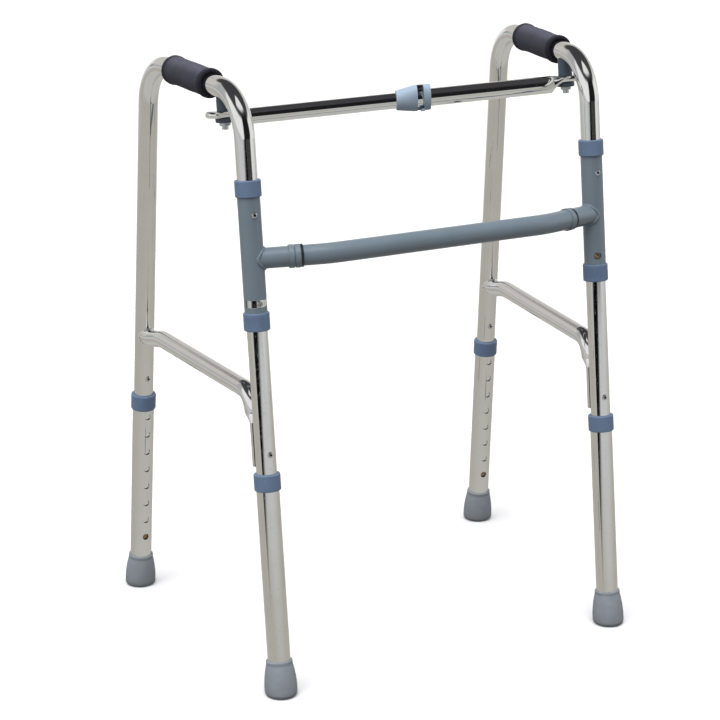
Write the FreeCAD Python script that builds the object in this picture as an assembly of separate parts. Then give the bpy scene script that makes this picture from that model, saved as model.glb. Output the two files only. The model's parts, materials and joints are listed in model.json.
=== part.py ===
import FreeCAD, Part
import math
import os

# Walking frame with two side frames that swing about its front legs.
# Millimetres, +Z up, floor at z = 0, the front (closed) side faces -Y and the user walks in from +Y.
# Left and right are the user's own: right is -X and left is +X.
# The front legs, the sleeves round them and the top bar's pivot pins are all parallel,
# and the cross bar and top bar are equally long between pivots: the four make a parallelogram.

# ---- overall sizes ----
front_span = 478.0        # between the two front leg axes
frame_depth = 403.2       # between front and rear leg axes, measured on the floor along a side frame
grip_height = 737.0       # floor to the centre line of the top tube under the grip
front_lean = 7.17         # degrees that the front legs lean back
rear_lean = 4.69          # degrees that the rear legs lean forward
splay = 3.93              # degrees that each side frame opens towards the rear, in plan
top_bend_radius = 58.0    # both bends of a side tube, to its centre line

# ---- tubes ----
tube_od = 25.4
tube_wall = 1.2
slip_gap = 0.3            # radial gap where one tube slides over another
slip_wall = 1.2           # wall of the leg extensions
bush_gap = 0.1            # radial running fit of a plastic bush on the chromed tube
upper_tube_end = 56.0     # floor to the lower end of a side tube, along the leg

# ---- leg extensions ----
leg_top = 281.0           # floor to the upper end of an extension tube, along the leg
height_holes = 8
hole_pitch = 25.4
lowest_hole = 75.5        # floor to the lowest height hole, along the leg
button_hole = 8.8         # diameter in the extension tube
collar_wall = 2.3         # over the extension tube
collar_height = 21.0
collar_lip = 2.0          # how far a collar reaches past the end of the tube that it caps
collar_round = 1.5

# ---- rubber feet ----
foot_height = 45.0
foot_rim_wall = 2.2
foot_rim_band = 5.0       # plain band under the rim
foot_od = 40.8
foot_straight = 13.0      # floor to the start of the flare
foot_sole = 9.0           # rubber under the extension tube
foot_round = 5.0
foot_gap = 0.1            # radial gap between foot and tube
washer_thick = 2.0

# ---- snap buttons ----
button_od = 8.0
button_flange_od = 11.0
button_flange_thick = 1.2
button_proud = 0.15       # how far the dome stands out of the inner tube
button_slack = 0.2        # radial gap in the inner tube's hole
button_travel = 4.0
leaf_width = 7.0
leaf_thick = 0.8
leaf_length = 38.0

# ---- rivets ----
rivet_head_od = 7.5
rivet_head_height = 1.6
rivet_dimple_od = 3.0
rivet_dimple_depth = 1.2
rivet_stem_od = 4.0
rivet_stem_inside = 3.0
leg_rivet_height = 308.0  # along the leg
sleeve_rivet_height = 601.0

# ---- front H frame ----
sleeve_bottom = 471.6     # along the front leg
sleeve_top = 631.5
sleeve_wall = 0.9
upper_bush_height = 20.5
lower_bush_height = 22.0
sleeve_bush_lip = 11.0
sleeve_bush_wall = 2.1    # over the sleeve
cross_height = 547.0      # along the front leg
cross_od = 25.4
cross_wall = 1.2
cross_turn = 19.0         # degrees that the ends of the cross bar turn back to the sleeves
cross_corner = 92.9       # front leg axis to where the cross bar turns, along the stub
cross_bend_radius = 90.0
right_stub_length = 57.6  # front leg axis to the end of the stub, along the stub
left_stub_length = 45.8
joint_seal_width = 3.0
ring_od = 28.8
ring_round = 1.0
stub_ring_width = 7.0     # two of these on the right stub
ring_groove = 0.6         # between those two
bar_ring_width = 7.0      # one on the cross bar at the left joint
seal_od = 28.0
spigot_length = 44.0
limit_slot_height = 9.0
limit_slot_front = 2.5    # the slot is all of the sleeve further than this in front of its axis
limit_height = 494.0      # slot and lock hole, along the front leg
limit_pin_od = 7.0
limit_pin_proud = 1.9     # beyond the chromed tube
lock_hole_od = 10.0
lock_turn = 16.0          # degrees that the lock hole faces inward from straight ahead

# ---- brace of a side frame ----
brace_od = 22.2
brace_wall = 1.2
brace_height = 376.2      # floor to the brace's axis where it turns down at the front leg
brace_rise_height = 374.3  # the same at the top of the rise near the rear leg
brace_rear_height = 365.5  # the same at the rear leg
brace_rear_level = 20.0   # level stretch at the rear leg
brace_rear_rise = 34.0    # plan length of the rise that follows it
brace_rise_radius = 60.0
brace_bend_radius = 26.0
brace_pad_width = 20.0    # flattened end on the front leg
brace_pad_thick = 9.0
brace_pad_seat = 2.9      # front leg's surface to the middle of the flattened end
brace_swage = 11.0        # length over which the tube is flattened
brace_end = 290.0         # along the front leg

# ---- hand grips ----
grip_length = 101.0
grip_od = 34.0
grip_flange_od = 36.6
grip_flange_width = 7.0
grip_round = 2.0
grip_gap = 0.25
grip_forward = 27.0       # front end of the grip behind the front bend

# ---- top bar and its two pivots ----
pivot_arm = 56.0          # front leg axis to pivot pin
pivot_height = 717.0      # middle of the bar's flattened ends, along the front leg
bar_inner_od = 19.6
bar_outer_od = 22.2
bar_slip_gap = 0.1
bar_inner_wall = 1.2
bar_overlap = 120.0       # inner tube inside the outer tube
bar_mouth = 2.0           # end of the outer tube, right of the middle plane counted towards +X
paddle_width = 27.0
paddle_thick = 8.0
paddle_reach = 24.0       # pivot to the end of the bar
paddle_taper = 12.0
paddle_flat = 11.0        # pivot to the start of the taper
paddle_rise = 5.8         # the flattened ends above the bar's axis, flush with its top
stud_od = 8.0
stud_fit = 0.1            # radial gap of the bar's holes on the studs
stud_tip = 4.5
stud_inside = 5.0         # how far the stud reaches into the top tube
pivot_play = 0.25         # gap above and below the bar's ends
spacer_od = 18.0
cap_od = 23.0
cap_height = 6.0
nut_flats = 13.0
nut_height = 4.0

# ---- release catch of the top bar ----
catch_start = -12.0       # small end, along X, at the front face
catch_step = 17.0         # large end of the tapered body, at the front face
window_end = 26.0
catch_end = 36.0
catch_slant = 0.38        # the end faces slope: x gained per unit rearward
catch_small_od = 22.8
catch_round = 1.3         # on the outer edges of both ends
catch_large_width = 26.0
catch_top = 17.0          # above the bar's axis
catch_bottom = 15.5       # below the bar's axis
catch_bore_gap = 0.1
catch_hook = 5.0          # length of the curled end under the ring
catch_button_gap = 0.3
catch_button_width = 10.0
catch_button_rise = 16.6
catch_travel = 2.2
catch_pin_od = 5.0
catch_pin_flange = 1.5    # how far its flange stands out

# ---- values worked out from the above ----
LEAN = math.radians(front_lean)
REAR = math.radians(rear_lean)
slip_id = tube_od + 2 * slip_gap
slip_od = slip_id + 2 * slip_wall
sleeve_od = slip_id + 2 * sleeve_wall
collar_od = slip_od + 2 * collar_wall
sleeve_bush_od = sleeve_od + 2 * sleeve_bush_wall
foot_rim_od = slip_od + 2 * (foot_gap + foot_rim_wall)
stud_top = (grip_height - tube_od / 2 + stud_inside + pivot_arm * math.sin(LEAN)) / math.cos(LEAN)
front_y = -frame_depth / 2 * math.cos(math.radians(splay))
tube_inner_radius = tube_od / 2 - tube_wall

V = FreeCAD.Vector
UP_LEG = V(0, math.sin(LEAN), math.cos(LEAN))          # along the front legs and pivots
BACK = V(0, math.cos(LEAN), -math.sin(LEAN))           # square to them, rearward
REAR_LEG = V(0, -math.sin(REAR), math.cos(REAR))
X = V(1, 0, 0)
FRONT_FOOT = V(0, front_y, 0)
REAR_FOOT = V(0, front_y + frame_depth, 0)


def cylinder(base, direction, radius, length):
    return Part.makeCylinder(radius, length, base, direction)


def ring(base, direction, outer_d, inner_d, length):
    outer = cylinder(base, direction, outer_d / 2, length)
    inner = cylinder(base - direction * 1, direction, inner_d / 2, length + 2)
    return outer.cut(inner)


def bent_wire(points, radii):
    """Straight legs through the points, with a tangent arc of the given radius at each inner one."""
    edges = []
    start = points[0]
    for before, corner, after, radius in zip(points, points[1:], points[2:], radii):
        a = (before - corner).normalize()
        b = (after - corner).normalize()
        half = a.getAngle(b) / 2
        reach = radius / math.tan(half)
        centre = corner + (a + b).normalize() * (radius / math.sin(half))
        middle = centre + (corner - centre).normalize() * radius
        edges.append(Part.makeLine(start, corner + a * reach))
        edges.append(Part.Arc(corner + a * reach, middle, corner + b * reach).toShape())
        start = corner + b * reach
    edges.append(Part.makeLine(start, points[-1]))
    return Part.Wire(edges)


def rod(wire, diameter):
    """A round bar along a wire."""
    first = wire.Edges[0]
    start = first.valueAt(first.FirstParameter)
    heading = first.tangentAt(first.FirstParameter)
    circle = Part.Wire(Part.makeCircle(diameter / 2, start, heading))
    return wire.makePipeShell([circle], True, False)


def tube(wire, outer_d, wall):
    return rod(wire, outer_d).cut(rod(wire, outer_d - 2 * wall))


def turned(profile, base, direction):
    """Turns a closed outline about a line. A step is (radius, height), height measured along
    the line, or (middle radius, middle height, radius, height) for an arc."""
    start = V(profile[0][0], 0, profile[0][1])
    edges, last = [], start
    for step in profile[1:] + profile[:1]:
        end = V(step[-2], 0, step[-1])
        if len(step) == 4:
            edges.append(Part.Arc(last, V(step[0], 0, step[1]), end).toShape())
        else:
            edges.append(Part.makeLine(last, end))
        last = end
    solid = Part.Face(Part.Wire(edges)).revolve(V(0, 0, 0), V(0, 0, 1), 360)
    return placed(solid, base, direction)


def dome(radius, low, high):
    """The arc step of a domed end that rises from low at the radius to high on the axis."""
    ball = (radius ** 2 + (high - low) ** 2) / (2 * (high - low))
    half = radius / 2
    return (half, high - ball + math.sqrt(ball ** 2 - half ** 2), 0, high)


def placed(shape, base, direction):
    """Moves a shape built round the Z axis so that its Z axis lies along direction from base."""
    moved = shape.copy()
    moved.Placement = FreeCAD.Placement(base, FreeCAD.Rotation(V(0, 0, 1), direction))
    return moved


def slot_wire(centre, across, along_width, width, thick):
    """A straight-sided wire with round ends: width along 'across', thickness along 'along_width'."""
    half = width / 2 - thick / 2
    r = thick / 2
    a, b = across, along_width
    corner = [centre + a * half + b * r, centre - a * half + b * r,
              centre - a * half - b * r, centre + a * half - b * r]
    return Part.Wire([
        Part.makeLine(corner[0], corner[1]),
        Part.Arc(corner[1], centre - a * (half + r), corner[2]).toShape(),
        Part.makeLine(corner[2], corner[3]),
        Part.Arc(corner[3], centre + a * (half + r), corner[0]).toShape()])


def rounded(shape, radius, keep):
    """Rounds the edges that keep() picks."""
    return shape.makeFillet(radius, [edge for edge in shape.Edges if keep(edge)])


# ---- the side frame, built in the plane x = 0 and then set in place ----

def front_point(along):
    return FRONT_FOOT + UP_LEG * along


def rear_point(along):
    return REAR_FOOT + REAR_LEG * along


def at_height(foot, direction, z):
    return foot + direction * (z / direction.z)


def side_wire():
    return bent_wire([front_point(upper_tube_end),
                      at_height(FRONT_FOOT, UP_LEG, grip_height),
                      at_height(REAR_FOOT, REAR_LEG, grip_height),
                      rear_point(upper_tube_end)],
                     [top_bend_radius, top_bend_radius])


def set_side(shape, side):
    """Opens a side frame's piece by the splay about its front leg and moves it to its side."""
    moved = shape.copy()
    moved.rotate(FRONT_FOOT, UP_LEG, -side * splay)
    moved.translate(X * (side * front_span / 2))
    return moved


def unset_side(shape, side):
    """The reverse of set_side, for pieces whose place is given on the finished frame."""
    moved = shape.copy()
    moved.translate(X * (-side * front_span / 2))
    moved.rotate(FRONT_FOOT, UP_LEG, side * splay)
    return moved


def pivot_point(side, along=pivot_height):
    return front_point(along) + BACK * pivot_arm + X * (side * front_span / 2)


def leg_facing(end):
    """Outward direction of the height holes: ahead on the rear legs, back on the front ones."""
    if end == "rear":
        return V(0, -math.cos(REAR), -math.sin(REAR))
    return BACK


LEGS = {"front": (front_point, UP_LEG), "rear": (rear_point, REAR_LEG)}


def rivet_facing(end):
    return leg_facing("rear") if end == "rear" else BACK * -1


def lock_facing():
    """The lock button's direction, ahead and turned inward on the left side."""
    ahead = BACK * -1
    turned = FreeCAD.Rotation(UP_LEG, -lock_turn).multVec(ahead)
    return turned


def in_side_frame(direction, side):
    return FreeCAD.Rotation(UP_LEG, side * splay).multVec(direction)


def stem_hole(centre, facing, diameter, inner=0.0, outer=tube_od):
    return cylinder(centre + facing * inner, facing, diameter / 2, outer - inner)


def side_tube(side):
    shape = tube(side_wire(), tube_od, tube_wall)
    cuts = []
    for end, (point, _) in LEGS.items():
        cuts.append(stem_hole(point(lowest_hole), leg_facing(end), button_od + 2 * button_slack))
        cuts.append(stem_hole(point(leg_rivet_height), rivet_facing(end), rivet_stem_od))
    if side > 0:
        facing = in_side_frame(lock_facing(), side)
        cuts.append(stem_hole(front_point(limit_height), facing, button_od + 2 * button_slack))
    else:
        cuts.append(stem_hole(front_point(limit_height), in_side_frame(BACK * -1, side), limit_pin_od))
    shape = shape.cut(Part.Compound(cuts))
    stud = unset_side(stud_blank(side), side)
    return set_side(shape.cut(stud), side)


def side_brace():
    level = V(0, -1, 0)
    start = at_height(REAR_FOOT, REAR_LEG, brace_rear_height)
    rise_start = start + level * brace_rear_level
    rise_end = rise_start + level * brace_rear_rise + V(0, 0, brace_rise_height - brace_rear_height)
    down_line = FRONT_FOOT + BACK * ((tube_od + brace_od) / 2)
    corner = at_height(down_line, UP_LEG, brace_height)
    turn = (rise_end - corner).getAngle(UP_LEG * -1)
    bend_end = corner - UP_LEG * (brace_bend_radius / math.tan(turn / 2))
    path = bent_wire([start, rise_start, rise_end, corner, bend_end - UP_LEG * 0.5],
                     [brace_rise_radius, brace_rise_radius, brace_bend_radius])
    round_part = tube(path, brace_od, brace_wall)

    swage_top = bend_end - UP_LEG * 0.5
    swage_drop = (swage_top - FRONT_FOOT).dot(UP_LEG) - brace_swage
    pad_seat = BACK * (tube_od / 2 + brace_pad_seat)
    pad_top = FRONT_FOOT + UP_LEG * swage_drop + pad_seat
    pad_bottom = FRONT_FOOT + UP_LEG * brace_end + pad_seat
    swage = Part.makeLoft([Part.Wire(Part.makeCircle(brace_od / 2, swage_top, UP_LEG)),
                           slot_wire(pad_top, X, BACK, brace_pad_width, brace_pad_thick)], True)
    pad = Part.Face(slot_wire(pad_bottom, X, BACK, brace_pad_width, brace_pad_thick))
    pad = pad.extrude(pad_top - pad_bottom)
    shape = round_part.fuse([swage, pad])
    return shape.cut(rod(side_wire(), tube_od)).removeSplitter()


def grip():
    front_corner = at_height(FRONT_FOOT, UP_LEG, grip_height)
    bend_reach = top_bend_radius * math.tan((math.pi / 2 - LEAN) / 2)
    start = front_corner + V(0, bend_reach + grip_forward, 0)
    inner = tube_od / 2 + grip_gap
    body, flange = grip_od / 2, grip_flange_od / 2
    w, full = grip_flange_width, grip_length
    profile = [(inner, 0), (flange, 0), (flange, w), (body, w + 1.5),
               (body, full - w - 1.5), (flange, full - w), (flange, full), (inner, full)]
    shape = turned(profile, start, V(0, 1, 0))
    return rounded(shape, grip_round, lambda edge: edge.BoundBox.XLength > 2 * flange - 0.1)


def rivet(centre, facing, surface, wall):
    """A domed rivet head with a dimple on a tube's surface, its stem through the tube's wall."""
    head, stem, dimple = rivet_head_od / 2, rivet_stem_od / 2, rivet_dimple_od / 2
    flat = surface * surface - head * head
    low = math.sqrt(flat) - surface
    top = rivet_head_height
    profile = [(0, -wall), (stem, -wall), (stem, low), (head, low), (head, 0.3),
               (head - 0.9, top - 0.35, dimple + 0.3, top), (dimple, top),
               (dimple, top - rivet_dimple_depth), (0, top - rivet_dimple_depth)]
    return turned(profile, centre + facing * surface, facing)


def leg_rivets():
    """The stop rivets ahead on both legs, their heads shaped to the tube."""
    shapes = []
    for end, (point, direction) in LEGS.items():
        facing = rivet_facing(end)
        centre = point(leg_rivet_height)
        wall = ring(point(leg_rivet_height - 10), direction, tube_od, 2 * tube_inner_radius, 20)
        wall = wall.cut(stem_hole(centre, facing, rivet_stem_od))
        shape = rivet(centre, facing, tube_od / 2, tube_wall + rivet_stem_inside)
        shapes.append(shape.cut(wall))
    return shapes


def flange_seat(inner_radius, flange_radius):
    """How far from the axis a flat flange stands when it lies inside a tube's wall."""
    return math.sqrt(inner_radius ** 2 - flange_radius ** 2) - 0.3


def snap_button(centre, facing):
    """Domed button with an inner flange, standing in the inner tube's wall."""
    seat = flange_seat(tube_inner_radius, button_flange_od / 2)
    r, flange = button_od / 2, button_flange_od / 2
    tip = tube_od / 2 + button_proud
    profile = [(0, seat - button_flange_thick), (flange, seat - button_flange_thick), (flange, seat),
               (r, seat), (r, tip - 1.4), dome(r, tip - 1.4, tip)]
    return turned(profile, centre, facing)


def leaf_spring(centre, facing, along, front, inner_radius, length):
    """A bent strip behind a button: its short arm clear of the pressed button, its long arm
    on the far wall of the tube."""
    across = facing.cross(along)
    thick = leaf_thick
    back = 0.2 - math.sqrt(inner_radius ** 2 - (leaf_width / 2) ** 2)
    fold = back + 2.2 * thick
    outline = [(front, -5), (front - thick, -5), (front - thick, 3), (fold, length),
               (back + thick, length - 4), (back + thick, -8), (back, -8), (back, length),
               (fold, length + 1.5 * thick), (front, 3.5)]
    points = [centre + facing * f + along * h - across * (leaf_width / 2) for f, h in outline]
    return Part.Face(Part.makePolygon(points + points[:1])).extrude(across * leaf_width)


def button_spring(centre, facing, along):
    seat = flange_seat(tube_inner_radius, button_flange_od / 2)
    front = seat - button_flange_thick - button_travel - 0.4
    return leaf_spring(centre, facing, along, front, tube_inner_radius, leaf_length)


# ---- leg extensions ----

def leg_tube(end):
    point, direction = LEGS[end]
    start = foot_sole + washer_thick
    shape = ring(point(start), direction, slip_od, slip_id, leg_top - start)
    holes = [stem_hole(point(lowest_hole + hole_pitch * k), leg_facing(end), button_hole)
             for k in range(height_holes)]
    return shape.cut(Part.Compound(holes))


def collar(base, direction, outer_d, body_height, lip, seat_d):
    """A plastic bush that caps a tube end: wide where it holds the tube, narrow on the chromed leg."""
    bore = tube_od + 2 * bush_gap
    shape = ring(base, direction, outer_d, bore, body_height)
    seat = cylinder(base - direction * 1, direction, seat_d / 2, body_height - lip + 1)
    shape = shape.cut(seat)
    return rounded(shape, collar_round, lambda edge: edge.BoundBox.XLength > outer_d - 0.5)


def ribbed_collar(base, direction, outer_d, body_height, lip, seat_d):
    """The same bush with fine grip ribs round its middle."""
    ribs = 40
    deep = 0.45
    points = []
    for k in range(2 * ribs):
        angle = math.pi * k / ribs
        radius = outer_d / 2 + (1 if k % 2 else -deep)
        points.append(V(radius * math.cos(angle), radius * math.sin(angle), 0))
    star = Part.Face(Part.makePolygon(points + points[:1])).extrude(V(0, 0, body_height - 9))
    band = ring(V(0, 0, 0), V(0, 0, 1), outer_d + 4, outer_d - 4 * deep, body_height - 9).cut(star)
    return collar(base, direction, outer_d, body_height, lip, seat_d).cut(
        placed(band, base + direction * 4.5, direction))


def leg_collar(end):
    point, direction = LEGS[end]
    base = point(leg_top + collar_lip - collar_height)
    return collar(base, direction, collar_od, collar_height, collar_lip, slip_od)


def foot(end, side):
    """A flared rubber ferrule whose sole is cut level with the floor."""
    point, direction = LEGS[end]
    rim, wide = foot_rim_od / 2, foot_od / 2
    bore = slip_od / 2 + foot_gap
    below = -6.0
    shoulder = foot_height - foot_rim_band
    profile = [(0, below), (wide, below), (wide, foot_straight),
               (wide - (wide - rim) * 0.32, (foot_straight + shoulder) / 2, rim, shoulder),
               (rim, foot_height - 1), (rim - 0.3, foot_height - 0.3, rim - 1, foot_height),
               (bore, foot_height), (bore, foot_sole), (0, foot_sole)]
    shape = set_side(turned(profile, point(0), direction), side)
    reach = foot_od
    floor_cut = Part.makeBox(2 * front_span, 4 * frame_depth, reach,
                             V(-front_span, -2 * frame_depth, -reach))
    shape = shape.cut(floor_cut)
    return rounded(shape, foot_round, lambda edge: edge.BoundBox.ZMax < 0.01)


def foot_washer(end):
    point, direction = LEGS[end]
    return ring(point(foot_sole), direction, slip_od, 6.0, washer_thick)


# ---- front H frame ----

def sleeve(side):
    base = front_point(sleeve_bottom)
    shape = ring(base, UP_LEG, sleeve_od, slip_id, sleeve_top - sleeve_bottom)
    centre = front_point(limit_height)
    rivet_at = front_point(sleeve_rivet_height)
    shape = shape.cut(stem_hole(rivet_at, BACK * -1, rivet_stem_od))
    if side > 0:
        shape = shape.cut(stem_hole(centre, lock_facing(), lock_hole_od))
    else:
        half = limit_slot_height / 2
        block = Part.makeBox(collar_od, collar_od, limit_slot_height,
                             V(-collar_od / 2, -collar_od - limit_slot_front, -half))
        shape = shape.cut(placed_upright(block, centre))
    return shape.translated(X * (side * front_span / 2))


def placed_upright(shape, base):
    """Sets a shape built in the plain axes so that its Z lies along the front legs."""
    moved = shape.copy()
    moved.Placement = FreeCAD.Placement(base, FreeCAD.Rotation(X, -front_lean))
    return moved


def stub_heading(side):
    """From a front leg axis along its stub, inward and turned ahead."""
    turn = math.radians(cross_turn)
    return X * (-side * math.cos(turn)) - BACK * math.sin(turn)


def stub_start(side):
    return front_point(cross_height) + X * (side * front_span / 2)


def stub_reach(side):
    return left_stub_length if side > 0 else right_stub_length


def stub(side):
    start, heading = stub_start(side), stub_heading(side)
    shape = ring(start, heading, cross_od, cross_od - 2 * cross_wall, stub_reach(side))
    cope = cylinder(front_point(sleeve_bottom) + X * (side * front_span / 2), UP_LEG,
                    sleeve_od / 2, sleeve_top - sleeve_bottom)
    return shape.cut(cope)


def cross_wire():
    ends = [stub_start(s) + stub_heading(s) * (stub_reach(s) + joint_seal_width) for s in (-1, 1)]
    corners = [stub_start(s) + stub_heading(s) * cross_corner for s in (-1, 1)]
    return bent_wire([ends[0], corners[0], corners[1], ends[1]],
                     [cross_bend_radius, cross_bend_radius])


def cross_bar():
    return tube(cross_wire(), cross_od, cross_wall)


def joint_rings():
    """Two rings at the end of the right stub and one on the cross bar at the left joint."""
    places = [(-1, right_stub_length - 2 * stub_ring_width - ring_groove, stub_ring_width),
              (-1, right_stub_length - stub_ring_width, stub_ring_width),
              (1, left_stub_length + joint_seal_width, bar_ring_width)]
    shapes = []
    for side, offset, width in places:
        start, heading = stub_start(side), stub_heading(side)
        shape = ring(start + heading * offset, heading, ring_od, cross_od + 0.1, width)
        shapes.append(rounded(shape, ring_round, lambda edge: edge.BoundBox.ZLength > ring_od - 1))
    return shapes


def joint_seals():
    return [ring(stub_start(s) + stub_heading(s) * stub_reach(s), stub_heading(s),
                 seal_od, cross_od - 2 * cross_wall, joint_seal_width) for s in (-1, 1)]


def joint_spigots():
    """Short tubes inside each joint that line up stub and cross bar."""
    outer = cross_od - 2 * cross_wall - 0.2
    start = {s: stub_reach(s) + (joint_seal_width - spigot_length) / 2 for s in (-1, 1)}
    return [ring(stub_start(s) + stub_heading(s) * start[s], stub_heading(s),
                 outer, outer - 3.0, spigot_length) for s in (-1, 1)]


def sleeve_rivets():
    shapes = []
    for s in (-1, 1):
        offset = X * (s * front_span / 2)
        facing = BACK * -1
        centre = front_point(sleeve_rivet_height)
        head = rivet(centre, facing, sleeve_od / 2, sleeve_wall)
        wall = ring(front_point(sleeve_rivet_height - 10), UP_LEG, sleeve_od, slip_id, 20)
        wall = wall.cut(stem_hole(centre, facing, rivet_stem_od))
        inner = cylinder(front_point(sleeve_rivet_height - 10), UP_LEG, slip_id / 2, 20)
        shapes.append(head.cut(wall.fuse(inner)).translated(offset))
    return shapes


def sleeve_bush(side, end):
    centre = X * (side * front_span / 2)
    if end == "upper":
        base = front_point(sleeve_top + sleeve_bush_lip - upper_bush_height)
        shape = collar(base, UP_LEG, sleeve_bush_od, upper_bush_height, sleeve_bush_lip, sleeve_od)
    else:
        base = front_point(sleeve_bottom - sleeve_bush_lip + lower_bush_height)
        shape = ribbed_collar(base, UP_LEG * -1, sleeve_bush_od, lower_bush_height, sleeve_bush_lip,
                              sleeve_od)
    return shape.translated(centre)


def limit_pin():
    """Shouldered pin in the right front leg that runs in the sleeve's slot."""
    facing = BACK * -1
    centre = front_point(limit_height)
    shape = cylinder(centre + facing * (tube_inner_radius - 2), facing, limit_pin_od / 2,
                     tube_wall + 2 + limit_pin_proud)
    dimple = cylinder(centre + facing * (tube_od / 2 + limit_pin_proud - 1), facing,
                      rivet_dimple_od / 2, 1)
    return shape.cut(dimple).translated(X * (-front_span / 2))


# ---- top bar ----

def stud_blank(side):
    """Round stud from inside the top tube down through the bar's end, cap and nut."""
    top = pivot_point(side, stud_top)
    length = (top - pivot_point(side, stud_bottom())).Length
    return cylinder(top, UP_LEG * -1, stud_od / 2, length)


def stud_bottom():
    return pivot_height - paddle_thick / 2 - pivot_play - cap_height - nut_height - stud_tip


def pivot_stud(side):
    return stud_blank(side)


def pivot_spacer(side):
    """Spacer between the top tube and the bar's end, its top shaped to the tube."""
    foot = pivot_height + paddle_thick / 2 + pivot_play
    base = pivot_point(side, foot)
    length = stud_top - foot
    shape = ring(base, UP_LEG, spacer_od, stud_od, length)
    shape = shape.cut(set_side(rod(side_wire(), tube_od), side))
    lowest = min(shape.Solids, key=lambda solid: (solid.CenterOfMass - base).dot(UP_LEG))
    return lowest


def pivot_cap(side):
    top = pivot_point(side, pivot_height - paddle_thick / 2 - pivot_play)
    shape = ring(top - UP_LEG * cap_height, UP_LEG, cap_od, stud_od, cap_height)
    return rounded(shape, 1.5, lambda edge: edge.BoundBox.XLength > cap_od - 0.5)


def pivot_nut(side):
    top = pivot_point(side, pivot_height - paddle_thick / 2 - pivot_play - cap_height)
    radius = nut_flats / math.sqrt(3)
    points = [V(radius * math.cos(math.pi * k / 3), radius * math.sin(math.pi * k / 3), 0)
              for k in range(6)]
    hexagon = Part.Face(Part.makePolygon(points + points[:1])).extrude(V(0, 0, nut_height))
    crown = Part.makeCone(nut_flats / 2 + 2.2, nut_flats / 2 - 0.3, nut_height)
    hexagon = hexagon.common(crown).cut(cylinder(V(0, 0, -1), V(0, 0, 1), stud_od / 2, nut_height + 2))
    return placed(hexagon, top, UP_LEG * -1)


def bar_point(x):
    """A point on the top bar's axis, which lies below its flattened ends."""
    return front_point(pivot_height - paddle_rise) + BACK * pivot_arm + X * x


def bar_half(side, diameter, wall, inner_end):
    """Half of the top bar: a tube, flattened upward at its outer end to a round-ended eye."""
    heading = X * side
    eye = pivot_point(side)
    flat_start = eye - heading * paddle_flat
    taper_start = flat_start - heading * paddle_taper - UP_LEG * paddle_rise
    length = (taper_start - bar_point(inner_end)).dot(heading)
    shape = ring(bar_point(inner_end), heading, diameter, diameter - 2 * wall, length)
    taper = Part.makeLoft([Part.Wire(Part.makeCircle(diameter / 2, taper_start, heading)),
                           slot_wire(flat_start, BACK, UP_LEG, paddle_width, paddle_thick)], True)
    disc_centre = eye + heading * (paddle_reach - paddle_width / 2)
    flat = Part.Face(slot_wire(flat_start, BACK, UP_LEG, paddle_width, paddle_thick))
    flat = flat.extrude(disc_centre - flat_start)
    core = (paddle_width - paddle_thick) / 2
    disc = cylinder(disc_centre - UP_LEG * (paddle_thick / 2), UP_LEG, core, paddle_thick)
    edge = Part.makeTorus(core, paddle_thick / 2, disc_centre, UP_LEG)
    shape = shape.fuse([taper, flat, disc, edge]).removeSplitter()
    hole = cylinder(eye - UP_LEG * 20, UP_LEG, stud_od / 2 + stud_fit, 40)
    return shape.cut(hole)


def catch_middle():
    """The bar's axis at the middle of the catch's sloping window."""
    return bar_point((catch_step + window_end) / 2 + catch_slant * catch_large_width / 2)


def catch_pin_hole():
    return cylinder(catch_middle(), UP_LEG, catch_pin_od / 2 + button_slack, bar_outer_od)


def bar_inner_tube():
    inner_end = bar_mouth + bar_overlap
    return bar_half(-1, bar_inner_od, bar_inner_wall, inner_end).cut(catch_pin_hole())


def bar_outer_tube():
    wall = (bar_outer_od - bar_inner_od) / 2 - bar_slip_gap
    return bar_half(1, bar_outer_od, wall, bar_mouth).cut(catch_pin_hole())


def catch_outline(x):
    """Egg-shaped section of the catch, taller above the bar than below it."""
    centre = bar_point(x)
    side_reach = BACK * (catch_large_width / 2)
    top = centre + UP_LEG * catch_top
    bottom = centre - UP_LEG * catch_bottom
    points = [top, centre + side_reach, bottom, centre - side_reach]
    curve = Part.BSplineCurve()
    curve.interpolate(points, PeriodicFlag=True)
    return Part.Wire(curve.toShape())


def sloping_block(start, end, front, back, low, high):
    """A block along the bar whose end faces slope in plan; start and end are at the front face."""
    def corner(x, y):
        return V(x + catch_slant * (y + catch_large_width / 2), y, low)
    points = [corner(start, front), corner(end, front), corner(end, back), corner(start, back)]
    shape = Part.Face(Part.makePolygon(points + points[:1])).extrude(V(0, 0, high - low))
    return placed_upright(shape, bar_point(0))


def catch_rim(start):
    """Picks the outer edges of the sloping end face whose front corner is at start."""
    def keep(edge):
        offset = edge.valueAt((edge.FirstParameter + edge.LastParameter) / 2) - bar_point(0)
        back, up = offset.dot(BACK), offset.dot(UP_LEG)
        end = start + catch_slant * (back + catch_large_width / 2)
        return abs(offset.x - end) < 0.05 and math.hypot(back, up) > bar_outer_od / 2 + 0.2
    return keep


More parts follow.
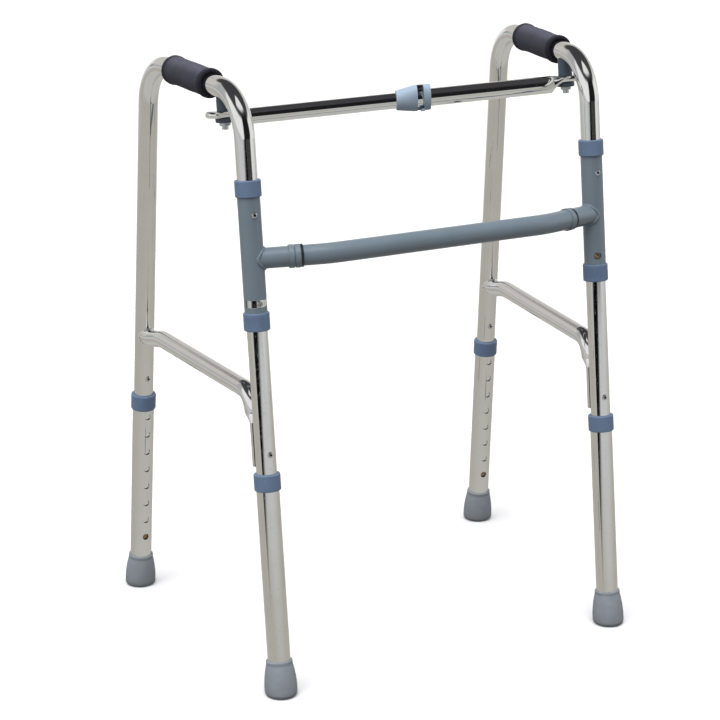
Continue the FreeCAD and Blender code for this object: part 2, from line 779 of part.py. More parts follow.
def catch_housing():
    """Tapered housing over the mouth of the outer tube, with a window and an end ring."""
    wide = catch_large_width
    small = Part.Wire(Part.makeCircle(catch_small_od / 2, bar_point(catch_start), X))
    body = Part.makeLoft([small, catch_outline(catch_step)], True)
    tail = Part.Face(catch_outline(catch_step)).extrude(X * (catch_end + wide - catch_step))
    shape = body.fuse(tail)
    bore_small = bar_inner_od / 2 + catch_bore_gap
    bore_large = bar_outer_od / 2 + catch_bore_gap
    shape = shape.cut(cylinder(bar_point(catch_start - 1), X, bore_small, bar_mouth - catch_start + 1))
    shape = shape.cut(cylinder(bar_point(bar_mouth - 0.3), X, bore_large, catch_end + 2 * wide))
    shape = shape.cut([
        sloping_block(catch_start - wide, catch_start, -wide, wide, -wide, wide),
        sloping_block(catch_end, catch_end + 2 * wide, -wide, wide, -wide, wide),
        sloping_block(catch_step, window_end, -wide, 7.0, 0, wide),
        sloping_block(catch_step, window_end, -wide, 2.0, -wide, 0)])
    hook = sloping_block(catch_step + catch_hook, window_end + 1, -7.5, -0.5,
                         -catch_bottom - 0.4, -catch_bottom + 3)
    shape = shape.fuse(hook).removeSplitter()
    shape = rounded(shape, catch_round, catch_rim(catch_start))
    return rounded(shape, catch_round, catch_rim(catch_end))


def catch_button():
    """Black release button in the housing's window, above the lock pin."""
    low = bar_outer_od / 2 + catch_travel + 0.6
    half = catch_button_width / 2
    block = sloping_block(catch_step + catch_button_gap, window_end - catch_button_gap, -half, half,
                          low, catch_button_rise)
    return rounded(block, 0.8, lambda edge: True)


def catch_pin_seat():
    inside = bar_inner_od / 2 - bar_inner_wall
    return flange_seat(inside, catch_pin_od / 2 + catch_pin_flange)


def catch_pin():
    """Sprung pin that locks the inner tube in the outer one, with a flange inside."""
    top = bar_outer_od / 2 + catch_travel + 0.4
    low, seat = catch_pin_seat() - button_flange_thick, catch_pin_seat()
    r, flange = catch_pin_od / 2, catch_pin_od / 2 + catch_pin_flange
    profile = [(0, low), (flange, low), (flange, seat), (r, seat), (r, top - 0.8),
               dome(r, top - 0.8, top)]
    return turned(profile, catch_middle(), UP_LEG)


def catch_spring():
    front = catch_pin_seat() - button_flange_thick - catch_travel - 0.4
    inside = bar_inner_od / 2 - bar_inner_wall
    return leaf_spring(catch_middle(), UP_LEG, X, front, inside, leaf_length)


# ---- writing the pieces ----

def write(node, shapes):
    solids = [solid for shape in (shapes if isinstance(shapes, list) else [shapes])
              for solid in shape.Solids]
    result = solids[0] if len(solids) == 1 else Part.makeCompound(solids)
    result.exportStep("parts/" + node + ".step")


def write_side(side, name):
    write(name + "_side_tube", side_tube(side))
    write(name + "_brace", set_side(side_brace(), side))
    write(name + "_grip", set_side(grip(), side))
    write(name + "_leg_rivets", [set_side(shape, side) for shape in leg_rivets()])
    write(name + "_pivot_stud", pivot_stud(side))
    write(name + "_pivot_spacer", pivot_spacer(side))
    write(name + "_pivot_cap", pivot_cap(side))
    write(name + "_pivot_nut", pivot_nut(side))
    springs = []
    for end, (point, direction) in LEGS.items():
        facing = leg_facing(end)
        node = name + "_" + end
        write(node + "_button", set_side(snap_button(point(lowest_hole), facing), side))
        springs.append(set_side(button_spring(point(lowest_hole), facing, direction), side))
        write(node + "_leg_tube", set_side(leg_tube(end), side))
        write(node + "_collar", set_side(leg_collar(end), side))
        write(node + "_foot", foot(end, side))
        write(node + "_foot_washer", set_side(foot_washer(end), side))
    if side > 0:
        offset = X * (front_span / 2)
        springs.append(button_spring(front_point(limit_height), lock_facing(), UP_LEG).translated(offset))
        write("lock_button", snap_button(front_point(limit_height), lock_facing()).translated(offset))
    else:
        write("limit_pin", limit_pin())
    write(name + "_button_springs", springs)


def write_front(side, name):
    write(name + "_sleeve", sleeve(side))
    write(name + "_stub", stub(side))
    for end in ("upper", "lower"):
        write(name + "_" + end + "_bush", sleeve_bush(side, end))


def main():
    os.makedirs("parts", exist_ok=True)
    for side, name in ((-1, "right"), (1, "left")):
        write_side(side, name)
        write_front(side, name)
    write("cross_bar", cross_bar())
    write("joint_rings", joint_rings())
    write("joint_seals", joint_seals())
    write("joint_spigots", joint_spigots())
    write("sleeve_rivets", sleeve_rivets())
    write("top_bar_inner_tube", bar_inner_tube())
    write("top_bar_outer_tube", bar_outer_tube())
    write("catch_housing", catch_housing())
    write("catch_button", catch_button())
    write("catch_pin", catch_pin())
    write("catch_spring", catch_spring())


main()
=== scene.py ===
import json
import math
import bpy
import numpy as np
from mathutils import Matrix, Vector


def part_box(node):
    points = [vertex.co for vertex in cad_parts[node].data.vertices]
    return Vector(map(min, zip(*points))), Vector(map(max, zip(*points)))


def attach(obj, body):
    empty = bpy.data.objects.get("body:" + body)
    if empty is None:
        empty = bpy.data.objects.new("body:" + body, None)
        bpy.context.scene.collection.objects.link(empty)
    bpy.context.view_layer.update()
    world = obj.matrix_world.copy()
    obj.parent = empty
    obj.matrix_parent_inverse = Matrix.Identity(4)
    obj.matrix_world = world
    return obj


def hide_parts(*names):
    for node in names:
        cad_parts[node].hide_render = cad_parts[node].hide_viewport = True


# Walking frame with chromed side frames, a painted front H frame, plastic bushes, foam hand
# grips and rubber feet. Metres, +Z up, floor at z = 0, the closed front faces -Y.
# Right is -X and left is +X, as the user stands.

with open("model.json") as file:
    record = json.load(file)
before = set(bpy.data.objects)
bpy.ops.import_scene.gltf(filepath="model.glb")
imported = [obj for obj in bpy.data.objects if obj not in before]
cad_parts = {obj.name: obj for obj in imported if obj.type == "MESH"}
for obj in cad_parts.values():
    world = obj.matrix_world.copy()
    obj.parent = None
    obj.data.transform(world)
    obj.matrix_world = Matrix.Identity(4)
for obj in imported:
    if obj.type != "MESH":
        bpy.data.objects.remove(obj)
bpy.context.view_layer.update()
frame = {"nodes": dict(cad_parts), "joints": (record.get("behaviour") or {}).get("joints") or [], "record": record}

SPLAY = math.radians(3.93)       # each side frame opens this much towards the rear
TUBE = 0.0127                    # radius of the chromed tubes
SLEEVE = 0.0139                  # radius of the painted sleeves
STUB = 0.0127                    # radius of the stubs and of the cross bar
BRACE = 0.0111                   # radius of the braces
SIDES = (("right", -1), ("left", 1))

joints = {joint["name"]: joint for joint in frame["joints"]}
LEG_UP = np.array(joints["side_swing"]["axis"])          # along the front legs
LEG_BACK = np.array((0, LEG_UP[2], -LEG_UP[1]))          # square to them, to the rear
SWING = {-1: "side_swing", 1: "left_side_swing"}         # the joint of each side frame


def add_object(name, data):
    thing = bpy.data.objects.new(name, data)
    bpy.context.scene.collection.objects.link(thing)
    return thing


def unit(vectors):
    return vectors / np.linalg.norm(vectors, axis=-1, keepdims=True)


def turned_about(axis, angle, vector):
    return np.array(Matrix.Rotation(angle, 3, Vector(axis)) @ Vector(vector))


# ---- camera ----

CAMERA_PLACE = Vector((-1.34824, -2.62089, 1.30622))
CAMERA_AIM = Vector((0.42744, 0.84888, -0.31096))
CAMERA_LENS = 118.25


def add_camera():
    data = bpy.data.cameras.new("camera")
    data.lens = CAMERA_LENS
    data.sensor_width = 36.0
    data.clip_end = 60.0
    camera = add_object("camera", data)
    aim = CAMERA_AIM.normalized()
    across = aim.cross(Vector((0, 0, 1))).normalized()
    turn = Matrix((across, across.cross(aim), -aim)).transposed().to_4x4()
    camera.matrix_world = Matrix.Translation(CAMERA_PLACE) @ turn
    bpy.context.scene.camera = camera


# ---- shader building blocks ----

class Finish:
    """A shader tree being built up. Each method adds a node and returns its output socket."""

    def __init__(self, tree):
        self.tree = tree
        self.tree.nodes.clear()

    def node(self, kind, settings=None, **sockets):
        """A node with its settings; a socket is given by name or, as in s0, by number."""
        node = self.tree.nodes.new("ShaderNode" + kind)
        for name, value in (settings or {}).items():
            setattr(node, name, value)
        for name, value in sockets.items():
            numbered = name[0] == "s" and name[1:].isdigit()
            socket = node.inputs[int(name[1:]) if numbered else name.replace("_", " ")]
            if isinstance(value, bpy.types.NodeSocket):
                self.tree.links.new(value, socket)
            else:
                socket.default_value = value
        return node

    def place(self, stretch=(1, 1, 1)):
        """Object coordinates, each axis multiplied by its stretch."""
        place = self.node("TexCoord").outputs["Object"]
        return self.node("VectorMath", {"operation": "MULTIPLY"}, s0=place, s1=stretch).outputs[0]

    def noise(self, size, stretch=(1, 1, 1), detail=2.0):
        """Soft random pattern from 0 to 1 whose patches are about size metres across."""
        place = self.place(stretch)
        return self.node("TexNoise", Vector=place, Scale=1 / size, Detail=detail).outputs[0]

    def cells(self, size):
        """Distance from the nearest of random points about size metres apart."""
        return self.node("TexVoronoi", Vector=self.place(), Scale=1 / size).outputs[0]

    def math(self, operation, a, b=0.0):
        return self.node("Math", {"operation": operation}, s0=a, s1=b).outputs[0]

    def span(self, value, low, high, start=0.0, end=1.0):
        """Smooth step of value: start at low, end at high. Low may be the larger of the two."""
        if low > high:
            low, high, start, end = high, low, end, start
        return self.node("MapRange", {"interpolation_type": "SMOOTHSTEP"}, Value=value,
                         From_Min=low, From_Max=high, To_Min=start, To_Max=end).outputs[0]

    def mix(self, share, a, b):
        """Colour a where share is 0, colour b where it is 1."""
        a, b = (colour if hasattr(colour, "node") else (*colour, 1) for colour in (a, b))
        return self.node("Mix", {"data_type": "RGBA"}, s0=share, s6=a, s7=b).outputs[2]

    def patches(self, where, strength, tone, colour):
        """Tone with colour over it in the places where a pattern is 1, at the given strength."""
        return self.mix(self.math("MULTIPLY", where, strength), tone, colour)

    def roughness(self, cloud, smooth, rough, where, extra, low=0.3, high=0.8):
        """Roughness that follows a cloud pattern from smooth to rough, and extra where worn."""
        base = self.span(cloud, low, high, smooth, rough)
        return self.math("ADD", base, self.math("MULTIPLY", where, extra))

    def bump(self, height, depth, after=None):
        """Normal for a height pattern from 0 to 1 that is depth metres deep, on top of another."""
        sockets = {"Height": height, "Distance": depth, "Strength": 1.0}
        if after is not None:
            sockets["Normal"] = after
        return self.node("Bump", **sockets).outputs[0]

    def surface(self, **sockets):
        shader = self.node("BsdfPrincipled", **sockets)
        self.node("OutputMaterial", Surface=shader.outputs[0])


def finish(name):
    material = bpy.data.materials.new(name)
    material.use_nodes = True
    return material, Finish(material.node_tree)


# ---- finishes ----

def chrome(name, haze=0.03):
    """Polished chrome plate: faint haze, a few lengthwise hairlines and hardly any waviness."""
    material, f = finish(name)
    cloud = f.noise(0.035)
    hairlines = f.span(f.noise(0.0006, (1, 1, 0.012)), 0.62, 0.70)
    waves = f.noise(0.009, (1, 1, 0.25))
    tone = f.mix(cloud, (0.80, 0.80, 0.785), (0.88, 0.88, 0.872))
    tone = f.patches(hairlines, 0.25, tone, (0.55, 0.54, 0.52))
    rough = f.roughness(cloud, haze, haze + 0.035, hairlines, 0.16)
    normal = f.bump(waves, 0.0000035)
    f.surface(Base_Color=tone, Roughness=rough, Metallic=1.0, Normal=normal)
    return material


def powder_coat(name):
    """Semi-gloss blue-grey coating with a fine orange-peel skin and a few small scuffs."""
    material, f = finish(name)
    cloud = f.noise(0.05)
    tone = f.mix(cloud, (0.128, 0.166, 0.196), (0.154, 0.194, 0.228))
    specks = f.span(f.cells(0.0042), 0.10, 0.05)
    tone = f.patches(specks, 0.35, tone, (0.34, 0.38, 0.42))
    scuffs = f.span(f.noise(0.0011, (1, 0.2, 0.35), 4.0), 0.66, 0.74)
    tone = f.patches(scuffs, 0.30, tone, (0.30, 0.34, 0.39))
    rough = f.roughness(cloud, 0.27, 0.36, scuffs, 0.2, 0.25, 0.75)
    orange_peel = f.noise(0.0013, detail=1.0)
    f.surface(Base_Color=tone, Roughness=rough, Normal=f.bump(orange_peel, 0.000016),
              Coat_Weight=0.3, Coat_Roughness=0.24)
    return material


def moulded_plastic(name, dark, light, smooth=0.42, worn=(0.30, 0.36, 0.44)):
    """Satin moulded plastic: fine sparked texture, slight flow marks and rubbed specks."""
    material, f = finish(name)
    cloud = f.noise(0.012, (1, 1, 0.6), 3.0)
    tone = f.mix(cloud, dark, light)
    rubbed = f.span(f.noise(0.0016, (1, 1, 0.5), 4.0), 0.64, 0.74)
    tone = f.patches(rubbed, 0.3, tone, worn)
    rough = f.roughness(cloud, smooth, smooth + 0.12, rubbed, 0.12, high=0.7)
    texture, flow = f.noise(0.00045, detail=1.0), f.noise(0.004)
    normal = f.bump(texture, 0.000012, f.bump(flow, 0.00004))
    f.surface(Base_Color=tone, Roughness=rough, Normal=normal)
    return material


def rubber(name):
    """Matt grey rubber, mottled, scuffed lighter in places and dirty towards the floor."""
    material, f = finish(name)
    tone = f.mix(f.noise(0.010, detail=4.0), (0.195, 0.218, 0.246), (0.260, 0.282, 0.308))
    grain = f.noise(0.0007, detail=2.0)
    tone = f.mix(f.span(grain, 0.55, 0.75, 0.0, 0.35), tone, (0.40, 0.41, 0.43))
    height = f.node("SeparateXYZ", Vector=f.place()).outputs[2]
    dirt = f.math("MULTIPLY", f.span(height, 0.011, 0.001), f.noise(0.005, detail=5.0))
    tone = f.patches(dirt, 0.8, tone, (0.10, 0.095, 0.09))
    normal = f.bump(grain, 0.00005, f.bump(f.noise(0.003), 0.00008))
    f.surface(Base_Color=tone, Roughness=f.span(grain, 0.2, 0.8, 0.62, 0.82), Normal=normal)
    return material


def closed_cell_foam(name):
    """Soft dark foam: small open pores, a painted highlight that lightens the upward-facing skin in patches, and
    darker end rims.
    """
    material, f = finish(name)
    pores = f.cells(0.00085)
    fine = f.noise(0.0004, detail=3.0)
    tone = f.mix(f.noise(0.014, detail=4.0), (0.036, 0.036, 0.048), (0.054, 0.053, 0.070))
    tone = f.mix(f.span(pores, 0.30, 0.0, 0.0, 0.7), tone, (0.012, 0.011, 0.015))
    tone = f.mix(f.span(fine, 0.6, 0.8, 0.0, 0.4), tone, (0.10, 0.10, 0.125))
    # painted highlight: the upward-facing skin is made lighter in patches, standing in for light from above
    upward = f.node("SeparateXYZ", Vector=f.node("NewGeometry").outputs["Normal"]).outputs[2]
    cover = f.span(f.noise(0.003), 0.2, 0.8, 0.35, 0.75)
    painted_top_light = f.math("MULTIPLY", f.span(upward, 0.45, 1.0), cover)
    tone = f.mix(painted_top_light, tone, (0.098, 0.098, 0.135))
    rim = f.node("Attribute", {"attribute_name": "rim"}).outputs["Fac"]
    tone = f.patches(rim, 0.72, tone, (0.012, 0.011, 0.017))
    normal = f.bump(f.span(pores, 0.0, 0.45), 0.00016, f.bump(fine, 0.00007))
    f.surface(Base_Color=tone, Roughness=f.span(fine, 0.2, 0.8, 0.72, 0.92), Normal=normal,
              Specular_IOR_Level=0.25)
    return material


def plated_metal(name, dark, light, smooth=0.26, stretch=(1, 1, 1)):
    """Plated or bare small metal parts: cloudy tone, light scratches, soft shine. Here as in
    moulded_plastic, smooth is the lowest roughness."""
    material, f = finish(name)
    cloud = f.noise(0.004, detail=4.0)
    tone = f.mix(cloud, dark, light)
    scratches = f.span(f.noise(0.0005, stretch, 3.0), 0.60, 0.70)
    rough = f.roughness(cloud, smooth, smooth + 0.14, scratches, 0.18, low=0.2)
    normal = f.bump(f.noise(0.0006, stretch), 0.000008)
    f.surface(Base_Color=tone, Roughness=rough, Metallic=1.0, Normal=normal)
    return material


HOLLOW_RADIUS = 0.00158
HOLLOW_DEPTH = 0.0014
RIM_BAND = 0.00005                # vertices this near to the highest one make the rim


def paint_dimple_shade(name, facings, material):
    """Gives the hollow in both rivet heads of a node a near-black material: painted shade standing in for
    the shadow inside the hollow. A head's rim is its highest circle along its facing; the hollow is
    every face within its radius and depth of there. Facings belong to the lower and the upper end of
    the node's longest side."""
    mesh = frame["nodes"][name].data
    centre, corner = np.zeros(3 * len(mesh.polygons)), np.zeros(3 * len(mesh.vertices))
    mesh.polygons.foreach_get("center", centre)
    mesh.vertices.foreach_get("co", corner)
    centre, corner = centre.reshape(-1, 3), corner.reshape(-1, 3)
    low, high = corner.min(0), corner.max(0)
    across = int(np.argmax(high - low))
    beyond = corner[:, across] > (low + high)[across] / 2
    index = np.zeros(len(centre), int)
    for end, facing in zip((~beyond, beyond), facings):
        height = corner @ facing
        rim = corner[end & (height > height[end].max() - RIM_BAND)].mean(0)
        offset = centre - rim
        depth = offset @ facing
        reach = np.linalg.norm(offset - depth[:, None] * facing, axis=1)
        index[(reach < HOLLOW_RADIUS) & (np.abs(depth) < HOLLOW_DEPTH)] = 1
    mesh.materials.append(material)
    mesh.polygons.foreach_set("material_index", index.tolist())


# ---- new pieces ----

def grid_piece(name, points, closed_rows, body, material, attribute=None):
    """A smooth piece from a rows x columns grid of points. Columns run round and always close;
    rows close too where closed_rows is true, or else each end row gets a cap."""
    rows, columns = points.shape[:2]
    index = np.arange(rows * columns).reshape(rows, columns)
    upper = np.roll(index, -1, axis=0) if closed_rows else index[1:]
    lower = index if closed_rows else index[:-1]
    quads = np.stack([lower, np.roll(lower, -1, 1), np.roll(upper, -1, 1), upper], -1)
    faces = quads.reshape(-1, 4).tolist()
    if not closed_rows:
        faces += [index[0, ::-1].tolist(), index[-1].tolist()]
    mesh = bpy.data.meshes.new(name)
    mesh.from_pydata(points.reshape(-1, 3).tolist(), [], faces)
    if attribute is not None:
        data = mesh.attributes.new(attribute[0], "FLOAT", "POINT").data
        data.foreach_set("value", attribute[1].astype(np.float32).ravel())
    mesh.polygons.foreach_set("use_smooth", np.ones(len(faces), bool))
    mesh.materials.append(material)
    piece = add_object(name, mesh)
    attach(piece, body)
    return piece


def outward(piece):
    """Turns the faces of a closed piece outwards if its signed volume is below zero: the sum
    over all triangles of the product a . (b x c) of their corners."""
    mesh = piece.data
    mesh.calc_loop_triangles()
    corner = np.zeros(3 * len(mesh.vertices))
    index = np.zeros(3 * len(mesh.loop_triangles), np.int32)
    mesh.vertices.foreach_get("co", corner)
    mesh.loop_triangles.foreach_get("vertices", index)
    a, b, c = corner.reshape(-1, 3)[index].reshape(-1, 3, 3).transpose(1, 0, 2)
    if np.einsum("ij,ij->i", a, np.cross(b, c)).sum() < 0:
        mesh.flip_normals()
    return piece


GRIP_RADIUS = 0.0170
GRIP_RIM = 0.0183
GRIP_RIM_WIDTH = 0.0070
GRIP_BORE = 0.01295
GRIP_LENGTH = 0.1010
GRIP_BLEND = 0.0024               # width of the step from body to rim
GRIP_MOUTH = 0.0021               # rounding at both mouths
GRIP_CROWN = 0.00035              # how much fuller the middle is
GRIP_WAVES = ((0.00012, 3, 70), (0.00010, 2, -150))  # height, times round, turn per metre


def foam_grip(name, side, material):
    """A foam sleeve with a raised rim at each end. Its section is a closed outline carried round
    the tube: out along the skin, radius = body + rim where a smooth step near each end is one,
    less a rounding at the mouths, then back along the bore. Slow waves round and along the skin
    leave it a little uneven, as hand-worn foam is."""
    low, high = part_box(name)
    centre = np.array((low + high) / 2)
    along = turned_about(LEG_UP, -side * SPLAY, (0, 1, 0))
    across = unit(np.cross(along, (0, 0, 1)))
    above = np.cross(across, along)
    skin_steps, bore_steps, round_steps = 180, 24, 96
    s = np.linspace(0, GRIP_LENGTH, skin_steps)
    from_end = np.minimum(s, GRIP_LENGTH - s)
    step = np.clip((from_end - GRIP_RIM_WIDTH + GRIP_BLEND / 2) / GRIP_BLEND, 0, 1)
    rim = 1 - step * step * (3 - 2 * step)
    into_mouth = np.clip(GRIP_MOUTH - from_end, 0, GRIP_MOUTH)
    rounding = GRIP_MOUTH - np.sqrt(GRIP_MOUTH ** 2 - into_mouth ** 2)
    angle = np.linspace(0, 2 * math.pi, round_steps, endpoint=False)
    waves = sum(height * np.sin(times * angle[None] + turn * s[:, None])
                for height, times, turn in GRIP_WAVES)
    crown = GRIP_CROWN * np.sin(math.pi * s / GRIP_LENGTH)
    skin = (GRIP_RADIUS + (GRIP_RIM - GRIP_RADIUS) * rim + crown - rounding)[:, None]
    skin = skin + waves * np.clip(from_end / GRIP_RIM_WIDTH, 0, 1)[:, None]
    back = np.linspace(GRIP_LENGTH, 0, bore_steps)
    bore = np.full((bore_steps, round_steps), GRIP_BORE)
    radius = np.concatenate([skin, bore])
    place = np.concatenate([s, back]) - GRIP_LENGTH / 2
    shade = np.concatenate([rim, np.ones(bore_steps)])
    spoke = np.cos(angle)[:, None] * across + np.sin(angle)[:, None] * above
    points = centre + place[:, None, None] * along + radius[:, :, None] * spoke
    attribute = ("rim", np.repeat(shade[:, None], round_steps, 1))
    piece = grid_piece(name + "_foam", points, True, name.split("_")[0] + "_side",
                       material, attribute)
    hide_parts(name)
    return outward(piece)


STUB_BEAD = 0.0019                # radius of the weld beads round the stubs
BRACE_BEAD = 0.0014               # and of those at the braces
BEAD_RIPPLE = 0.14                # height of a ripple as a share of the bead's radius
BEAD_DRIFT = 0.05                 # slow change of size along the bead, as such a share


def bead(name, path, lift, radius, ripples, closed, body, material):
    """A weld bead: a circle carried along the path, its radius rising and falling once per
    ripple; lift is the outward direction at each point. An open bead shrinks at its ends."""
    count = len(path)
    if closed:
        heading = unit(np.roll(path, -1, 0) - np.roll(path, 1, 0))
    else:
        heading = unit(np.gradient(path, axis=0))
    side = unit(np.cross(heading, lift))
    lift = np.cross(side, heading)
    share = np.linspace(0, 1, count, endpoint=not closed)
    ripple = BEAD_RIPPLE * np.abs(np.sin(math.pi * ripples * share))
    size = radius * (1 + ripple - BEAD_DRIFT * np.sin(9 * share))
    if not closed:
        size = size * np.sqrt(np.clip(1 - (2 * share - 1) ** 8, 0.02, 1))
    around = np.linspace(0, 2 * math.pi, 16, endpoint=False)[None, :, None]
    ring = np.cos(around) * lift[:, None] + np.sin(around) * side[:, None]
    points = path[:, None] + size[:, None, None] * ring
    return outward(grid_piece(name, points, closed, body, material))


def saddle(start, branch, branch_radius, main, main_radius, count=220):
    """The closed curve where a branch tube meets a main tube whose axis passes through start.
    A point on the branch at reach t along it lies on the main tube where its distance from
    the main axis equals the main radius: a quadratic in t for each angle round the branch."""
    angle = np.linspace(0, 2 * math.pi, count, endpoint=False)
    a = unit(np.cross(branch, main))
    b = np.cross(branch, a)
    spoke = np.cos(angle)[:, None] * a + np.sin(angle)[:, None] * b
    p, q = branch_radius * spoke @ main, branch @ main
    half = p * q / (1 - q * q)
    rest = (branch_radius ** 2 - p ** 2 - main_radius ** 2) / (1 - q * q)
    reach = half + np.sqrt(half ** 2 - rest)
    path = start + branch_radius * spoke + reach[:, None] * branch
    return path, unit(spoke + branch)


STUB_TURN = math.radians(19.0)    # the stubs leave the sleeves turned this much ahead
STUB_HEIGHT = 0.547               # along the front leg
BRACE_HEIGHT = 0.3655             # of the brace's axis at the rear leg, above the floor
PAD_ANGLE = math.radians(28.7)    # from straight behind the front leg to the pad's edge
PAD_LOW = 0.2893                  # ends of the brace's flattened pad, along the front leg
PAD_HIGH = 0.3418
PAD_SIDEWAYS = 0.30               # the weld below a pad runs sideways up to this share of its
PAD_UPWARDS = 0.22                # half length from the middle, and upwards from this one


def hip(side):
    """A point on the axis about which a side frame swings."""
    return np.array(joints[SWING[side]]["pos_m"])


def stub_weld(name, side, material):
    """Round the foot of a stub, where it meets the sleeve."""
    branch = np.array((-side * math.cos(STUB_TURN), 0, 0)) - LEG_BACK * math.sin(STUB_TURN)
    path, lift = saddle(hip(side) + LEG_UP * STUB_HEIGHT, branch, STUB, LEG_UP, SLEEVE)
    return bead(name + "_stub_weld", path, lift, STUB_BEAD, 26, True, "front_frame",
                material)


def rear_brace_weld(name, side, material):
    """Round the rear end of a brace. The rear leg's axis passes through its foot washer."""
    leg = -np.array(joints[name + "_rear_leg_height"]["axis"])
    low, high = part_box(name + "_rear_foot_washer")
    on_leg = np.array((low + high) / 2)
    start = on_leg + leg * (BRACE_HEIGHT - on_leg[2]) / leg[2]
    branch = turned_about(LEG_UP, -side * SPLAY, (0, -1, 0))
    path, lift = saddle(start, branch, BRACE, leg, TUBE)
    return bead(name + "_rear_brace_weld", path, lift, BRACE_BEAD, 22, True, name + "_side",
                material)


def front_brace_weld(name, side, material):
    """Runs down one edge of the brace's flattened pad, round below it and up the other edge,
    always on the front leg's surface: angle and height follow a rounded U."""
    t = np.linspace(-1, 1, 150)
    sideways = np.minimum(1, np.abs(t) / PAD_SIDEWAYS)
    upwards = np.clip((np.abs(t) - PAD_UPWARDS) / (1 - PAD_UPWARDS), 0, 1)
    angle = PAD_ANGLE * np.sign(t) * sideways
    height = PAD_LOW + (PAD_HIGH - PAD_LOW) * upwards
    back = turned_about(LEG_UP, -side * SPLAY, LEG_BACK)
    aside = np.cross(LEG_UP, back)
    spoke = np.cos(angle)[:, None] * back + np.sin(angle)[:, None] * aside
    path = hip(side) + height[:, None] * LEG_UP + TUBE * spoke
    return bead(name + "_front_brace_weld", path, spoke, BRACE_BEAD, 16, False, name + "_side",
                material)


# ---- room and light ----

TO_CAMERA = np.array((-0.4497, -0.8932, 0.0))    # level, from the part to the camera
TO_RIGHT = np.array((0.8932, -0.4497, 0.0))      # to the right as the camera sees it


def studio_world():
    """What polished tubes see: a pale floor, white screens to both sides and behind, and the
    dark room behind the camera with its doorway. Everything else gets plain soft light.
    Azimuth is counted from the camera to the right as it sees the part, in degrees."""
    world = bpy.data.worlds.new("studio")
    bpy.context.scene.world = world
    world.use_nodes = True
    f = Finish(world.node_tree)
    look = f.node("TexCoord").outputs["Generated"]
    rise = f.node("SeparateXYZ", Vector=look).outputs[2]

    def along(direction):
        dot = f.node("VectorMath", {"operation": "DOT_PRODUCT"}, s0=look, s1=direction)
        return dot.outputs["Value"]

    elevation = f.math("DEGREES", f.math("ARCSINE", rise))
    azimuth = f.math("DEGREES", f.math("ARCTAN2", along(TO_RIGHT), along(TO_CAMERA)))
    from_camera = f.math("ABSOLUTE", azimuth)

    def between(value, low, high, soft):
        return f.math("MULTIPLY", f.span(value, low - soft / 2, low + soft / 2),
                      f.span(value, high + soft / 2, high - soft / 2))

    def panel(seen, colour, sideways, upwards, soft=8.0, turn=azimuth):
        """Paints a soft-edged panel of the room; sideways and upwards are its two limits."""
        within = between(turn, *sideways, soft), between(elevation, *upwards, soft)
        return f.mix(f.math("MULTIPLY", *within), seen, colour)

    floor = f.mix(f.span(elevation, -34, -20), (0.54, 0.535, 0.51), (0.46, 0.445, 0.40))
    floor = f.mix(f.span(elevation, -15, -6), floor, (0.60, 0.61, 0.61))
    room = (0.055, 0.055, 0.06)
    seen = f.mix(f.span(elevation, -3, 3), floor, room)
    # overhead screen, then the grey wall and the white screen on the left, the one on the right
    seen = panel(seen, (0.85, 0.85, 0.86), (-35, 65), (54, 88), 12)
    seen = panel(seen, (0.45, 0.45, 0.46), (-132, -88), (0, 42))
    seen = panel(seen, (0.88, 0.89, 0.89), (-95, 0), (1, 38), 10)
    seen = panel(seen, (0.86, 0.86, 0.86), (62, 165), (-4, 32), 10)
    # the wall behind the part and the white sweep at its foot
    seen = panel(seen, (0.62, 0.60, 0.57), (118, 190), (4, 32), 10, from_camera)
    seen = panel(seen, (0.85, 0.85, 0.85), (140, 190), (-16, 9), 6, from_camera)
    # the doorway, its sill and a dark skirting that falls off to the left
    seen = panel(seen, (0.012, 0.012, 0.013), (3, 68), (2, 45), 12)
    seen = panel(seen, (0.05, 0.05, 0.05), (0, 62), (-3, 3), 3)
    tilted = f.math("SUBTRACT", elevation, f.math("MULTIPLY", azimuth, 0.2))
    skirting = f.math("MULTIPLY", between(azimuth, -46, 14, 6), between(tilted, -5.5, 1, 3))
    seen = f.mix(skirting, seen, (0.004, 0.004, 0.004))

    soft = f.mix(f.span(rise, -0.6, 0.8), (0.13, 0.13, 0.13), (0.84, 0.84, 0.86))
    path = f.node("LightPath").outputs
    shown = f.mix(path["Is Glossy Ray"], soft, seen)
    backdrop = f.math("MAXIMUM", path["Is Camera Ray"], path["Is Transmission Ray"])
    shown = f.mix(backdrop, shown, (1, 1, 1))
    background = f.node("Background", Color=shown, Strength=1.0)
    f.node("OutputWorld", Surface=background.outputs[0])


def add_floor():
    half = 20.0
    mesh = bpy.data.meshes.new("floor")
    corners = [(-half, -half, 0), (half, -half, 0), (half, half, 0), (-half, half, 0)]
    mesh.from_pydata(corners, [], [(0, 1, 2, 3)])
    material, f = finish("floor")
    tone = f.mix(f.noise(0.6), (0.70, 0.70, 0.70), (0.73, 0.73, 0.73))
    f.surface(Base_Color=tone, Roughness=0.9, Specular_IOR_Level=0.1)
    mesh.materials.append(material)
    floor = add_object("floor", mesh)
    floor.visible_glossy = False
    floor.visible_diffuse = False


def add_lamp(data, energy, towards, place=(0, 0, 0)):
    """A lamp that shines the given way and isn't itself seen in the polished tubes."""
    data.energy = energy
    lamp = add_object(data.name, data)
    lamp.location = place
    lamp.rotation_euler = Vector(towards).to_track_quat("-Z", "Y").to_euler()
    lamp.visible_glossy = False


def sky_lamp(name, place, strength, softness):
    """Even light from far away, its shadows softened over an angle given in degrees."""
    data = bpy.data.lights.new(name, "SUN")
    data.angle = math.radians(softness)
    add_lamp(data, strength, -Vector(place))


def soft_lamp(name, place, aim, size, watts):
    """A square screen of light, size metres wide, turned to a point."""
    data = bpy.data.lights.new(name, "AREA")
    data.shape = "SQUARE"
    data.size = size
    add_lamp(data, watts, Vector(aim) - Vector(place), place)


# ---- putting it together ----

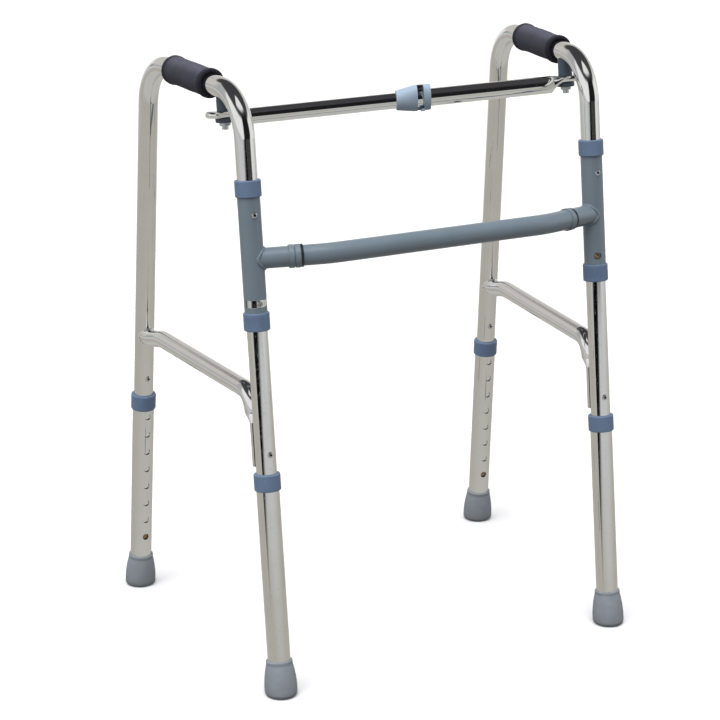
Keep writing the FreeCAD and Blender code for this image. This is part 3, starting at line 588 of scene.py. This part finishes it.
add_camera()
studio_world()
add_floor()
sky_lamp("overhead", (-0.22, -0.20, 1.0), strength=3.0, softness=50)
soft_lamp("left_screen", (-3.0, -0.6, 1.7), aim=(0, 0, 0.45), size=2.2, watts=16)

tube_chrome = chrome("tube_chrome")
weld_chrome = chrome("weld_chrome", haze=0.12)
coating = powder_coat("blue_grey_coating")
foam = closed_cell_foam("grip_foam")
catch_plastic = moulded_plastic("catch_plastic", (0.270, 0.352, 0.440), (0.330, 0.415, 0.505),
                                smooth=0.34, worn=(0.52, 0.60, 0.68))
bush_plastic = moulded_plastic("bush_plastic", (0.100, 0.150, 0.240), (0.130, 0.190, 0.292))
pivot_plastic = moulded_plastic("pivot_plastic", (0.035, 0.050, 0.070), (0.060, 0.080, 0.105),
                                smooth=0.36, worn=(0.12, 0.15, 0.18))
black_plastic = moulded_plastic("black_plastic", (0.010, 0.010, 0.011), (0.018, 0.018, 0.020),
                                smooth=0.38, worn=(0.05, 0.05, 0.055))
button_brass = plated_metal("button_brass", (0.30, 0.215, 0.13), (0.44, 0.33, 0.20),
                            smooth=0.32)
spring_strip = plated_metal("spring_strip", (0.30, 0.30, 0.32), (0.42, 0.43, 0.45),
                            smooth=0.3, stretch=(1, 1, 0.1))
zinc_plate = plated_metal("zinc_plate", (0.50, 0.51, 0.53), (0.66, 0.67, 0.70), smooth=0.3)
slot_finish = {
    "chromed_tube": tube_chrome,
    "grey_paint": coating,
    "grip_foam": foam,
    "blue_grey_plastic": bush_plastic,
    "dark_blue_plastic": pivot_plastic,
    "black_plastic": black_plastic,
    "foot_rubber": rubber("foot_rubber"),
    "rivet_steel": plated_metal("rivet_plate", (0.50, 0.50, 0.50), (0.66, 0.66, 0.65)),
    "brass_button": button_brass,
    "spring_steel": spring_strip,
    "zinc_steel": zinc_plate,
}
subparts = frame["record"]["subparts"]
finish_of = {part["node"]: slot_finish[part["material_slot"]] for part in subparts}
finish_of["catch_housing"] = catch_plastic

for node, piece in frame["nodes"].items():
    piece.data.materials.clear()
    piece.data.materials.append(finish_of[node])

ahead = -LEG_BACK
# near-black material for the rivet hollows: painted shade in the recesses, not the rivets' own colour
hollow = plated_metal("rivet_hollow_painted_shade", (0.012, 0.012, 0.013), (0.030, 0.029, 0.028),
                      smooth=0.5)
paint_dimple_shade("sleeve_rivets", (ahead, ahead), hollow)

for name, side in SIDES:
    forward = turned_about(LEG_UP, -side * SPLAY, ahead)
    rear_leg = np.array(joints[name + "_rear_leg_height"]["axis"])
    rear_facing = unit(forward - rear_leg * (forward @ rear_leg))
    paint_dimple_shade(name + "_leg_rivets", (forward, rear_facing), hollow)
    foam_grip(name + "_grip", side, foam)
    stub_weld(name, side, coating)
    rear_brace_weld(name, side, weld_chrome)
    front_brace_weld(name, side, weld_chrome)

bpy.context.scene.view_settings.view_transform = "Standard"
